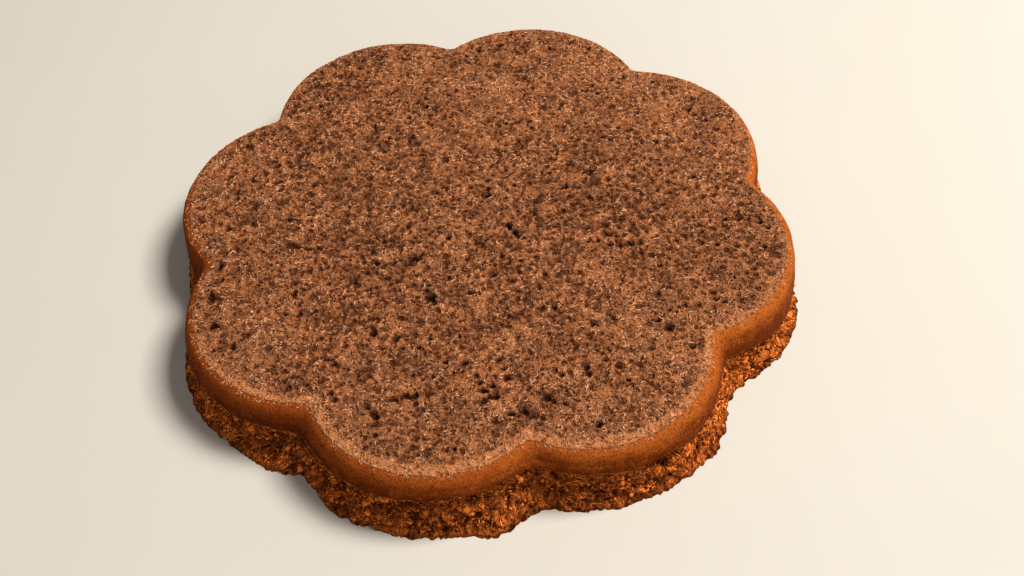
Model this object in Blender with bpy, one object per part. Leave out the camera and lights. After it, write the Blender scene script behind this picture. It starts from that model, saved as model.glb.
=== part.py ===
"""A chocolate sponge layer from an eight-petal tin, lying with its level-cut face up.

The layer is one solid. Its outline is eight round lobes. From the cut face a rounded shoulder and
a smooth band of crust run down the side. Below the band the crust has pulled away with the tin,
which leaves a torn, crumbly side set back from it, down to a ragged foot. The larger air holes of
the crumb open in the cut face. The torn side curves out, so the layer is widest at its foot. The
shoulder is widest on one side and all but cut away on the other. Metres, +Z up, origin at the
middle of the flat base.
"""

import math
import random

import bmesh
import bpy
from mathutils import Matrix, Vector, noise

MM = 0.001
SEED = 8

# Outline: round lobes on a circle, as the tin forms them, each a little off its even place.
ACROSS = 230 * MM
LOBE_COUNT = 8
LOBE_RADIUS = 47.0 * MM
NOTCH_SOFTNESS_AT_CUT = 1.0 * MM
NOTCH_SOFTNESS_AT_BASE = 3.8 * MM
LOBE_REACH_MM = (-0.4, 1.1, -0.7, 0.3, 0.8, 1.0, -0.5, -1.5)
LOBE_DRIFT_MM = (4.0, -0.5, -4.0, 0.0, 2.4, 0.4, -1.3, -0.8)
STEPS_PER_LOBE = 30

# Side, from the cut face down. How far a ring stands out is measured from the top of the band.
THICKNESS = 26.3 * MM
SHOULDER_WIDTH = (1.2 * MM, 6.5 * MM)
SHOULDER_DROP = (2.0 * MM, 5.5 * MM)
SHOULDER_WIDEST_AT = math.radians(285)
SHOULDER_STEPS = 4
BAND_FLARE = 1.2 * MM
BAND_BULGE = 0.3 * MM
BAND_FOOT_HEIGHT = 14.2 * MM
BAND_FOOT_RISE = 3.8 * MM
BAND_FOOT_HIGHEST_AT = math.radians(288)
BAND_FOOT_RISE_HALF_ANGLE = math.radians(33)
BAND_FOOT_RIPPLE = 0.6 * MM
BAND_HANGS_DEG_MM = ((3, 9.0), (193, 8.0))
BAND_HANG_HALF_ANGLE = math.radians(11)
SKIN_STEP = 1.5 * MM
SKIN_STEP_DROP = 1.3 * MM
TORN_RINGS = 6
TORN_CURVE = 2.4
FOOT_HEIGHT = 1.6 * MM
FOOT_FLARE = 4.3 * MM
BASE_FLARE = 5.2 * MM

# Relief of the surfaces, outwards.
CRAG_SIZE = 6.5 * MM
CRAG_DEPTH = 1.6 * MM
CRUMB_JITTER = 0.5 * MM
BAND_RELIEF = 0.25 * MM
FOOT_CLUMPS_DEG_MM = (
    (244, 3.4),
    (259, 2.0),
    (286, 3.8),
    (326, 1.8),
    (7, -2.4),
    (64, 2.0),
    (158, 2.4),
    (191, -2.4),
)
CLUMP_HALF_ANGLE = math.radians(4.5)

# Air holes in the cut face. Those that catch the eye: x, y, length, width in mm, and turn in degrees.
NOTABLE_HOLES = (
    (12, -2, 7.0, 3.8, -40),
    (54, -1, 13.0, 2.8, 10),
    (-61, -26, 14.0, 2.6, 0),
    (-1, 13, 4.2, 3.8, 0),
    (-15, 87, 3.8, 3.4, 0),
    (-84, -55, 5.4, 4.4, 80),
    (-80, -67, 3.6, 3.4, 0),
    (-38, -38, 4.0, 3.6, 20),
    (-24, -59, 3.4, 3.2, 0),
    (-16, -58, 3.6, 3.4, 0),
    (75, -36, 3.6, 3.4, 0),
    (48, -30, 5.0, 4.6, 0),
    (17, -40, 5.2, 4.2, 60),
    (56, -58, 5.0, 4.6, 0),
    (72, -57, 5.0, 4.6, 0),
    (67, 76, 4.6, 3.8, 30),
    (99, 20, 4.6, 4.2, 0),
    (37, 53, 6.4, 3.6, 5),
    (21, -77, 5.6, 3.4, -30),
)
HOLE_DEPTH_SHARE = 0.55
SMALL_HOLE_COUNT = 30
SMALL_HOLE_SIZE = (2.0 * MM, 3.2 * MM)
HOLE_CLEARANCE = 9.0 * MM
HOLE_FIELD_RADIUS = 95 * MM

CRUMB_COLOUR = (0.235, 0.098, 0.050)
CRUST_COLOUR = (0.270, 0.080, 0.018)


def smooth_max(values, softness):
    """Largest of the values, with the corner between near-equal ones rounded off."""
    peak = max(values)
    return peak + softness * math.log(sum(math.exp((v - peak) / softness) for v in values))


def lobe_reach(angle, lobe, inset):
    """Distance from the middle to one lobe's circle along an angle, or 0 where it misses."""
    centre = ACROSS / 2 - LOBE_RADIUS + LOBE_REACH_MM[lobe] * MM
    turn = angle - math.tau * lobe / LOBE_COUNT - LOBE_DRIFT_MM[lobe] * MM / (ACROSS / 2)
    under_root = (LOBE_RADIUS - inset) ** 2 - (centre * math.sin(turn)) ** 2
    if math.cos(turn) <= 0 or under_root <= 0:
        return 0.0
    return centre * math.cos(turn) + math.sqrt(under_root)


def outline(angle, inset, height):
    """Distance from the middle to the lobed outline, drawn in by an inset.

    Crumb fills the notches between the lobes more and more towards the base.
    """
    reaches = [lobe_reach(angle, lobe, inset) for lobe in range(LOBE_COUNT)]
    share = height / THICKNESS
    softness = NOTCH_SOFTNESS_AT_BASE * (1 - share) + NOTCH_SOFTNESS_AT_CUT * share
    return smooth_max(reaches, softness)


def shoulder(angle):
    """Width and drop of the rounded shoulder at an angle: wide on one side, narrow on the other."""
    share = (1 + math.cos(angle - SHOULDER_WIDEST_AT)) / 2
    return tuple(least + (most - least) * share for least, most in (SHOULDER_WIDTH, SHOULDER_DROP))


def bell(angle, middle, half_angle):
    """A smooth bump of height 1 at an angle."""
    away = math.remainder(angle - middle, math.tau) / half_angle
    return math.exp(-away * away)


def bells(angle, places, half_angle):
    """Sum of smooth bumps: places holds the angle in degrees and the height in mm of each one."""
    return sum(height * MM * bell(angle, math.radians(at), half_angle) for at, height in places)


def band_foot(angle):
    """Height of the crust band's lower edge: it rises on one side and hangs low at two places."""
    rise = BAND_FOOT_RISE * bell(angle, BAND_FOOT_HIGHEST_AT, BAND_FOOT_RISE_HALF_ANGLE)
    rise -= bells(angle, BAND_HANGS_DEG_MM, BAND_HANG_HALF_ANGLE)
    return BAND_FOOT_HEIGHT + rise + BAND_FOOT_RIPPLE * math.sin(5 * angle + 1)


def clump(angle):
    """How far the crumbs at the foot stand out at an angle, or draw in where it is below 0."""
    return bells(angle, FOOT_CLUMPS_DEG_MM, CLUMP_HALF_ANGLE)


def side_stations(angle):
    """Rings of the side at an angle, top down, as (inset, height, crag depth, jitter)."""
    stations = []
    width, drop = shoulder(angle)
    for step in range(SHOULDER_STEPS + 1):
        turn = math.pi / 2 * step / SHOULDER_STEPS
        inset = width * (1 - math.sin(turn))
        height = THICKNESS - drop * (1 - math.cos(turn))
        stations.append((inset, height, BAND_RELIEF * step / SHOULDER_STEPS, 0.0))
    foot = band_foot(angle)
    middle = (THICKNESS - drop + foot) / 2
    stations.append((-BAND_FLARE / 2 - BAND_BULGE, middle, BAND_RELIEF, 0.0))
    stations.append((-BAND_FLARE, foot, BAND_RELIEF, 0.0))
    torn_top = foot - SKIN_STEP_DROP
    start = SKIN_STEP - BAND_FLARE
    for ring in range(TORN_RINGS):
        share = ring / (TORN_RINGS - 1)
        inset = start - (start + FOOT_FLARE) * share**TORN_CURVE
        height = torn_top + (FOOT_HEIGHT - torn_top) * share
        if ring == TORN_RINGS - 1:
            inset -= clump(angle)
        stations.append((inset, height, CRAG_DEPTH, CRUMB_JITTER))
    stations.append((-BASE_FLARE - clump(angle), 0.0, CRAG_DEPTH / 2, CRUMB_JITTER))
    return stations


def ring_points(draw):
    """Points of every ring of the side, top ring first."""
    steps = LOBE_COUNT * STEPS_PER_LOBE
    columns = []
    for step in range(steps):
        angle = math.tau * step / steps
        heading = Vector((math.cos(angle), math.sin(angle), 0))
        column = []
        for inset, height, crag, jitter in side_stations(angle):
            point = heading * outline(angle, inset, height) + Vector((0, 0, height))
            push = crag * noise.noise(point / CRAG_SIZE) + draw.uniform(-jitter, jitter)
            column.append(point + heading * push)
        columns.append(column)
    return [list(ring) for ring in zip(*columns)]


def layer_mesh(rings):
    """Closed mesh of the layer: quads between the rings, and the cut face and base as flat caps."""
    mesh = bpy.data.meshes.new("sponge_layer")
    form = bmesh.new()
    loops = [[form.verts.new(point) for point in ring] for ring in rings]
    band_rings = SHOULDER_STEPS + 2
    for row, (upper, lower) in enumerate(zip(loops, loops[1:])):
        for i in range(len(upper)):
            j = (i + 1) % len(upper)
            face = form.faces.new((upper[i], lower[i], lower[j], upper[j]))
            face.material_index = 1 if row < band_rings else 0
            face.smooth = row < band_rings
    form.faces.new(loops[0])
    form.faces.new(list(reversed(loops[-1])))
    form.to_mesh(mesh)
    form.free()
    return mesh


def set_over_origin(mesh):
    """Shifts the mesh sideways so that the middle of its box is over the origin."""
    xs = [v.co.x for v in mesh.vertices]
    ys = [v.co.y for v in mesh.vertices]
    middle = Vector((min(xs) + max(xs), min(ys) + max(ys), 0)) / 2
    mesh.transform(Matrix.Translation(-middle))


def hole_places(draw):
    """Air holes as (x, y, length, width, turn), the notable ones first, none near another."""
    holes = [(x * MM, y * MM, a * MM, b * MM, math.radians(t)) for x, y, a, b, t in NOTABLE_HOLES]
    while len(holes) < len(NOTABLE_HOLES) + SMALL_HOLE_COUNT:
        reach = HOLE_FIELD_RADIUS * math.sqrt(draw.random())
        angle = draw.uniform(0, math.tau)
        x, y = reach * math.cos(angle), reach * math.sin(angle)
        if any(math.hypot(x - h[0], y - h[1]) < HOLE_CLEARANCE + h[2] / 2 for h in holes):
            continue
        size = draw.uniform(*SMALL_HOLE_SIZE)
        holes.append((x, y, size, size * draw.uniform(0.7, 1), draw.uniform(0, math.pi)))
    return holes


def hole_cutter(holes):
    """One hidden mesh of flattened balls, half sunk in the cut face, to open the air holes."""
    form = bmesh.new()
    for x, y, length, width, turn in holes:
        depth = HOLE_DEPTH_SHARE * width
        place = Matrix.Translation((x, y, THICKNESS)) @ Matrix.Rotation(turn, 4, "Z")
        size = Matrix.Diagonal((length / 2, width / 2, depth, 1))
        bmesh.ops.create_icosphere(form, subdivisions=1, radius=1, matrix=place @ size)
    mesh = bpy.data.meshes.new("air_holes")
    form.to_mesh(mesh)
    form.free()
    cutter = bpy.data.objects.new("air_holes", mesh)
    cutter.hide_render = True
    cutter.display_type = "WIRE"
    bpy.context.collection.objects.link(cutter)
    return cutter


def material(name, colour, roughness):
    """Plain Principled material of one colour."""
    made = bpy.data.materials.new(name)
    made.use_nodes = True
    shader = made.node_tree.nodes["Principled BSDF"]
    shader.inputs["Base Color"].default_value = (*colour, 1)
    shader.inputs["Roughness"].default_value = roughness
    return made


def main():
    """Builds the layer and opens its air holes."""
    for old in list(bpy.data.objects):
        bpy.data.objects.remove(old)
    draw = random.Random(SEED)
    mesh = layer_mesh(ring_points(draw))
    set_over_origin(mesh)
    mesh.materials.append(material("chocolate crumb", CRUMB_COLOUR, 0.95))
    mesh.materials.append(material("baked crust", CRUST_COLOUR, 0.5))
    layer = bpy.data.objects.new("sponge_layer", mesh)
    bpy.context.collection.objects.link(layer)
    cut = layer.modifiers.new("air holes", "BOOLEAN")
    cut.object = hole_cutter(hole_places(draw))
    cut.operation = "DIFFERENCE"
    cut.solver = "EXACT"


main()
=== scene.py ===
"""Looks of a chocolate sponge layer from an eight-petal tin, lying cut face up.

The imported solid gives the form. Here the layer is modelled again at the scale of its crumb: a cut
face with open air holes, a rounded shoulder that blushes into a smooth band of crust, and a torn
side below the band that curves out to the foot. Shreds of cell wall stand on all of its crumb, and
loose grains cling to the side. Sizes are in millimetres and angles in degrees until a mesh is
written in metres.
"""

from __future__ import annotations

import itertools
import logging
import math
import random
from dataclasses import dataclass, field
from enum import Enum
from typing import Any, Iterable, Sequence, Union

import bmesh
import bpy
import numpy as np
from mathutils import Matrix, Vector, geometry
from mathutils import noise as crag_noise

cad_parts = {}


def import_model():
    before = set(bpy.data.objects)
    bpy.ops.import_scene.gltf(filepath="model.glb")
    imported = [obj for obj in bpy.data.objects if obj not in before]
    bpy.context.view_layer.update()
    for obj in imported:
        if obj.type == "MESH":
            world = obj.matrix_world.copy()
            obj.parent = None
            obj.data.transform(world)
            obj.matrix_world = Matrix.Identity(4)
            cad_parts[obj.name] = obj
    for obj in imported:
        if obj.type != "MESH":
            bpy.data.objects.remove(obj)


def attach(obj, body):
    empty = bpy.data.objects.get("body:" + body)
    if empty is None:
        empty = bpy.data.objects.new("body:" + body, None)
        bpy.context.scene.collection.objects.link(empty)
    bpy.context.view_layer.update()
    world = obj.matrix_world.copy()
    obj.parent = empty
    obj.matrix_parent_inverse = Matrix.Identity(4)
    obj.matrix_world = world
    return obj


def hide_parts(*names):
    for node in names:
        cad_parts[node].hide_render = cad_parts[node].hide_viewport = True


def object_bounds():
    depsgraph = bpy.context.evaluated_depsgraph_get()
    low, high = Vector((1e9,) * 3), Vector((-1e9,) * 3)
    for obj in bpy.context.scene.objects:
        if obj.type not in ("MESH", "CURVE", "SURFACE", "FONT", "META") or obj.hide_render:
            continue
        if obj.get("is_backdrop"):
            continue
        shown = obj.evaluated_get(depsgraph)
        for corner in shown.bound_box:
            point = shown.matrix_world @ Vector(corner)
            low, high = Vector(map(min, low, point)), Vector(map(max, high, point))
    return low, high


LOG = logging.getLogger("sponge_layer")
MM = 0.001
LAYER_NODE = "sponge_layer"
BODY = "root"
# The kind of output of Blender's triangulation that keeps only what lies inside the rim.
INSIDE_ONLY = 1
# Dry crumb mirrors next to nothing.
DULL_SPECULAR = 0.006

# A Span is a least and a greatest value, or where something begins and where it is full.
# Bumps are headings in degrees, each with the height of its bump.
Points = np.ndarray
Scalars = np.ndarray
Span = tuple[float, float]
Bumps = tuple[tuple[float, float], ...]
Colour = tuple[float, float, float]


# --- Noise on points in millimetres ---


@dataclass(frozen=True)
class Pattern:
    """A pattern of noise or foam: how large its features are, its own number and its strength."""

    size: float
    channel: int = 0
    strength: float = 1.0


class Texture3D:
    """Repeatable noise and foam cells, worked out for whole arrays of points at once."""

    PRIMES = (73856093, 19349663, 83492791)
    SEED_STRIDE = 31
    SEED_PRIME = 2654435761
    SCRAMBLES = ((13, 0x5BD1E995), (15, 0x27D4EB2D), (16, 0x165667B1))
    LAST_SHIFT = 14
    WORD = 0xFFFFFFFF
    FARTHEST = 9.0

    def __init__(self, seed: int) -> None:
        """Keeps the seed that every pattern of this texture starts from."""
        self.seed = seed

    def lattice(self, cell: np.ndarray, channel: int = 0) -> Scalars:
        """Random number from 0 to 1 for each whole-numbered cell.

        Args:
            cell: Whole numbers, three to a cell.
            channel: Which of several independent numbers to draw.

        Returns:
            One number for each cell.
        """
        mixed = cell[..., 0] * self.PRIMES[0]
        for axis in (1, 2):
            mixed = mixed ^ (cell[..., axis] * self.PRIMES[axis])
        start = (self.seed * self.SEED_STRIDE + channel) * self.SEED_PRIME
        mixed = (mixed ^ start) & self.WORD
        for shift, factor in self.SCRAMBLES:
            mixed = ((mixed ^ (mixed >> shift)) * factor) & self.WORD
        return (mixed ^ (mixed >> self.LAST_SHIFT)) / (self.WORD + 1.0)

    def smooth(self, points: Points, pattern: Pattern) -> Scalars:
        """Smooth noise.

        Args:
            points: Places in millimetres.
            pattern: The size, number and strength of the noise.

        Returns:
            A number for each place, from minus to plus the strength.
        """
        place = points / pattern.size
        cell = np.floor(place).astype(np.int64)
        share = place - cell
        share = share * share * (3 - 2 * share)
        total = np.zeros(len(points))
        for corner in np.ndindex(2, 2, 2):
            step = np.array(corner)
            weight = np.prod(np.where(step == 1, share, 1 - share), axis=1)
            total += weight * self.lattice(cell + step, pattern.channel)
        return pattern.strength * (2 * total - 1)

    def cells(self, points: Points, pattern: Pattern) -> tuple[Scalars, Scalars]:
        """Foam cells: how far each point is from the nearest and the next cell middle.

        Args:
            points: Places in millimetres.
            pattern: The spacing and number of the foam.

        Returns:
            The two distances, as shares of the spacing.
        """
        place = points / pattern.size
        home = np.floor(place).astype(np.int64)
        nearest = np.full(len(points), self.FARTHEST)
        second = np.full(len(points), self.FARTHEST)
        for offset in np.ndindex(3, 3, 3):
            cell = home + (np.array(offset) - 1)
            middle = np.stack([self.lattice(cell, pattern.channel + k) for k in (1, 2, 3)], axis=1)
            away = np.linalg.norm(cell + middle - place, axis=1)
            second = np.minimum(second, np.maximum(nearest, away))
            nearest = np.minimum(nearest, away)
        return nearest, second


def ramp(values: Scalars, low: float, high: float) -> Scalars:
    """Smooth step from 0 at low to 1 at high, also where high is the smaller."""
    share = np.clip((values - low) / (high - low), 0, 1)
    return share * share * (3 - 2 * share)


def bell(angle: Scalars, place: float, half_angle: float) -> Scalars:
    """Rounded peak of 1 at a place in degrees, about half an angle wide on either side."""
    away = np.remainder(angle - math.radians(place) + math.pi, math.tau) - math.pi
    return np.exp(-((away / math.radians(half_angle)) ** 2))


def bells(angle: Scalars, places: Bumps, half_angle: float) -> Scalars:
    """Sum of smooth bumps.

    Args:
        angle: Headings in radians.
        places: Heading in degrees and height of each bump.
        half_angle: Half the width of the bumps in degrees.

    Returns:
        The height at each heading.
    """
    return sum(height * bell(angle, place, half_angle) for place, height in places)


def on_ring(angle: Scalars, radius: float) -> Points:
    """Points on a flat circle."""
    return radius * np.stack([np.cos(angle), np.sin(angle), np.zeros(len(angle))], axis=1)


# --- Outline and air holes ---


@dataclass(frozen=True)
class PetalOutline:
    """The lobed outline that the tin gives, with each lobe a little off its even place."""

    across: float = 230.0
    lobe_radius: float = 47.0
    softness_at_base: float = 3.8
    softness_at_cut: float = 1.0
    lobe_reach: tuple[float, ...] = (-0.4, 1.1, -0.7, 0.3, 0.8, 1.0, -0.5, -1.5)
    lobe_drift: tuple[float, ...] = (4.0, -0.5, -4.0, 0.0, 2.4, 0.4, -1.3, -0.8)
    middle: tuple[float, float] = (0.85, 0.15)
    fineness: int = 16

    def reach(self, angle: Scalars, inset: Scalars | float, rise: Scalars | float = 1.0) -> Scalars:
        """Distance from the tin's middle to the outline.

        Args:
            angle: Headings in radians.
            inset: How far the outline is drawn in.
            rise: Share of the way up from the base, where crumb fills the notches, to the cut.

        Returns:
            The distance along each heading.
        """
        count = len(self.lobe_reach)
        reaches = []
        for lobe, (out, drift) in enumerate(zip(self.lobe_reach, self.lobe_drift)):
            centre = self.across / 2 - self.lobe_radius + out
            turn = angle - math.tau * lobe / count - drift / (self.across / 2)
            under_root = (self.lobe_radius - inset) ** 2 - (centre * np.sin(turn)) ** 2
            hit = (np.cos(turn) > 0) & (under_root > 0)
            far = centre * np.cos(turn) + np.sqrt(np.maximum(under_root, 0))
            reaches.append(np.where(hit, far, 0.0))
        softness = self.softness_at_base * (1 - rise) + self.softness_at_cut * rise
        peak = np.max(reaches, axis=0)
        spread = sum(np.exp((r - peak) / softness) for r in reaches)
        return peak + softness * np.log(spread)

    def even_angles(self, count: int, inset: float) -> Scalars:
        """Headings whose points lie evenly spaced along the outline.

        Args:
            count: How many headings.
            inset: How far the outline is drawn in.

        Returns:
            The headings in radians, rising.
        """
        fine = np.linspace(0, math.tau, self.fineness * count + 1)
        reach = self.reach(fine, inset)
        x, y = reach * np.cos(fine), reach * np.sin(fine)
        walked = np.concatenate([[0], np.cumsum(np.hypot(np.diff(x), np.diff(y)))])
        return np.interp(np.arange(count) * walked[-1] / count, walked, fine)

    def polar(self, places: Points) -> tuple[Scalars, Scalars]:
        """Heading and distance of each place from the tin's middle."""
        x, y = places[:, 0] - self.middle[0], places[:, 1] - self.middle[1]
        return np.arctan2(y, x), np.hypot(x, y)


@dataclass(frozen=True)
class Shoulder:
    """The rounded shoulder, wide on one side of the layer and all but cut away on the other."""

    width_range: Span = (1.2, 6.5)
    drop_range: Span = (2.0, 5.5)
    widest_at: float = 285.0

    def share(self, angle: Scalars) -> Scalars:
        """How wide the shoulder is at each heading, from 0 for least to 1 for most."""
        return (1 + np.cos(angle - math.radians(self.widest_at))) / 2

    def width(self, angle: Scalars) -> Scalars:
        """How far in from the outline the cut face ends."""
        return self.width_range[0] + np.ptp(self.width_range) * self.share(angle)

    def drop(self, angle: Scalars) -> Scalars:
        """How far below the cut face the band of crust begins."""
        return self.drop_range[0] + np.ptp(self.drop_range) * self.share(angle)


class HoleKind(Enum):
    """How an air hole looks: as (depth over width, steepness of the wall, strength of the painted shade
    in it).
    """

    DEEP = (0.80, 0.45, 1.0)
    BUBBLE = (0.42, 0.60, 0.30)
    SHALLOW = (0.55, 0.55, 0.80)
    PIT = (0.65, 0.50, 0.80)


@dataclass(frozen=True)
class AirHole:
    """One air hole that opens in the cut face."""

    x: float
    y: float
    length: float
    width: float
    turn: float = 0.0
    kind: HoleKind = HoleKind.DEEP

    @property
    def heading(self) -> tuple[float, float]:
        """Cosine and sine of the way that the hole's length points."""
        turn = math.radians(self.turn)
        return math.cos(turn), math.sin(turn)

    def local(self, places: Points) -> Scalars:
        """How far out in the hole each place lies.

        Args:
            places: Points, of which x and y are used.

        Returns:
            The distance of each from the hole's middle, 1 at its rim.
        """
        cos, sin = self.heading
        x, y = places[:, 0] - self.x, places[:, 1] - self.y
        return np.hypot((x * cos + y * sin) * 2 / self.length, (y * cos - x * sin) * 2 / self.width)

    def ring(self, share: float, count: int) -> Points:
        """Points on the hole's outline, shrunk.

        Args:
            share: Share of the hole's size to shrink it to.
            count: How many points.

        Returns:
            The points in order, as (x, y).
        """
        cos, sin = self.heading
        step = math.tau * (np.arange(count) + 0.5 * share) / count
        along = np.cos(step) * self.length / 2 * share
        aside = np.sin(step) * self.width / 2 * share
        return np.stack([self.x + along * cos - aside * sin, self.y + along * sin + aside * cos], 1)


def notable_holes() -> list[AirHole]:
    """The air holes and cracks that catch the eye in the cut face.

    Returns:
        Holes made from rows of x, y, length and width, with turn and kind where they have them.
    """
    bubble = HoleKind.BUBBLE
    rows: tuple[tuple[Any, ...], ...] = (
        (10.5, 0, 4.4, 3.4, -30), (13.2, -2.3, 3.4, 2.6, -55), (15.2, -4.7, 3.0, 2.0, -20),
        (17.5, -5.3, 2.6, 1.8), (49, -2, 3.4, 2.4, 10), (52, -1.5, 4.0, 2.6, 20), (55.5, -0.6, 4.4, 2.6),
        (59, 0.5, 3.4, 2.2, 20), (47.5, 2.5, 2.8, 2.6), (-67, -24.6, 4.4, 2.4, 20),
        (-63.2, -25.8, 4.4, 2.0, -10), (-59, -25.8, 4.8, 2.2), (-55, -24.8, 4.2, 2.0, 15),
        (-1, 13.3, 4.2, 3.4), (-1.5, 16.9, 2.2, 1.6, 40), (-15, 87, 3.6, 3.2),
        (-84, -55.3, 5.0, 4.2, 80, bubble), (-85.5, -54.3, 2.6, 3.4, 30), (-80, -66.6, 3.4, 3.2),
        (-76, -67.6, 2.4, 2.2, 0, bubble), (-88, -39.9, 2.4, 4.6, 10), (-38, -37.9, 3.8, 3.0, 10),
        (-35.8, -39.5, 2.4, 2.0, 40), (-24, -58.4, 3.4, 3.0, 40), (-16, -58.9, 3.4, 3.2),
        (75, -35.8, 3.6, 3.4), (71.3, -33.8, 2.2, 1.9), (48, -29.7, 4.8, 4.4, 0, bubble),
        (17, -39.9, 4.8, 4.0, 60, bubble), (56, -58.4, 4.8, 4.4, 0, bubble),
        (72, -57.3, 4.6, 4.2, 0, bubble), (67, 75.8, 4.0, 3.2, 20), (88, 18.4, 3.0, 2.8),
        (93, 20, 3.4, 2.2, 40), (99, 20.5, 4.6, 4.2, 0, bubble), (101, 19.5, 2.2, 3.0, 20),
        (-20, -22.5, 4.6, 3.6, 10), (-21, -25.8, 3.0, 2.4), (-17.6, -20.5, 2.6, 2.0, 50),
        (-9, -38.9, 4.6, 3.4), (-6.8, -41.4, 3.4, 2.8, 60), (-11, -36.5, 2.6, 2.0, 20),
        (10, -64.5, 3.0, 2.6), (-6, -81.9, 4.0, 2.6, 20), (-2.6, -80.9, 3.4, 2.6, 60),
        (-9, -84, 3.0, 2.0, 10), (19, -74.8, 3.4, 3.0), (23, -76, 3.6, 3.0, 30), (20, -78.8, 3.6, 3.0),
        (17, -71.7, 2.8, 2.2), (21.5, -72.1, 2.4, 2.2, 20), (59, -79.9, 2.6, 3.4), (36, 53.2, 4.0, 2.6),
        (39.2, 52.7, 3.4, 2.4, 20), (46, 59.4, 3.0, 2.4, 30), (35, -34.8, 2.4, 2.4),
        (88, -17.4, 3.4, 2.6, 50), (89.6, -20.1, 3.4, 2.0, 10), (92.4, -20.7, 2.6, 1.6, 10),
        (3, 68.6, 2.4, 2.2), (8, 20.5, 2.2, 2.0), (27, 23.6, 3.8, 2.6, -10), (35, 33.8, 3.0, 2.4),
        (34, -79.9, 4.4, 2.6, -20), (37, -81.5, 3.0, 2.2, 10), (40, -72.7, 3.4, 2.6, -30),
        (42.6, -74.1, 2.6, 1.8, -30), (30, -81.9, 2.8, 2.2, 30), (-31, -86, 3.2, 2.2, 30),
        (-28.6, -88.1, 2.6, 2.0, 60), (-14, -91.1, 4.2, 2.6, -30), (-17, -89.1, 3.0, 2.2, -40),
        (61, -55.3, 2.8, 2.6), (-70, -73.7, 2.2, 3.2), (-36, -72.7, 3.6, 2.4, 10),
        (-33.4, -74.3, 2.6, 2.0, 30),
    )
    return [AirHole(*row) for row in rows]


class GridIndex:
    """Finds the places near another by the square that they lie in."""

    def __init__(self, cell: float, places: Sequence[Sequence[float]]) -> None:
        """Sorts places into squares.

        Args:
            cell: Side of a square.
            places: Places, of which x and y are used.
        """
        self.cell = cell
        self.numbers = itertools.count()
        self.squares: dict[tuple[int, int], list[int]] = {}
        for x, y in np.asarray(places)[:, :2].tolist():
            self.add(x, y)

    def add(self, x: float, y: float) -> None:
        """Adds a place, which takes the next number."""
        home = (int(x // self.cell), int(y // self.cell))
        self.squares.setdefault(home, []).append(next(self.numbers))

    def near(self, x: float, y: float, reach: float) -> np.ndarray:
        """Finds the places round a place.

        Args:
            x: Its x.
            y: Its y.
            reach: How far off they may lie, to about the side of a square.

        Returns:
            The numbers of the places.
        """
        low = (int((x - reach) // self.cell), int((y - reach) // self.cell))
        high = (int((x + reach) // self.cell), int((y + reach) // self.cell))
        found: list[int] = []
        for a in range(low[0], high[0] + 1):
            for b in range(low[1], high[1] + 1):
                found += self.squares.get((a, b), [])
        return np.array(found, int)


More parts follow.
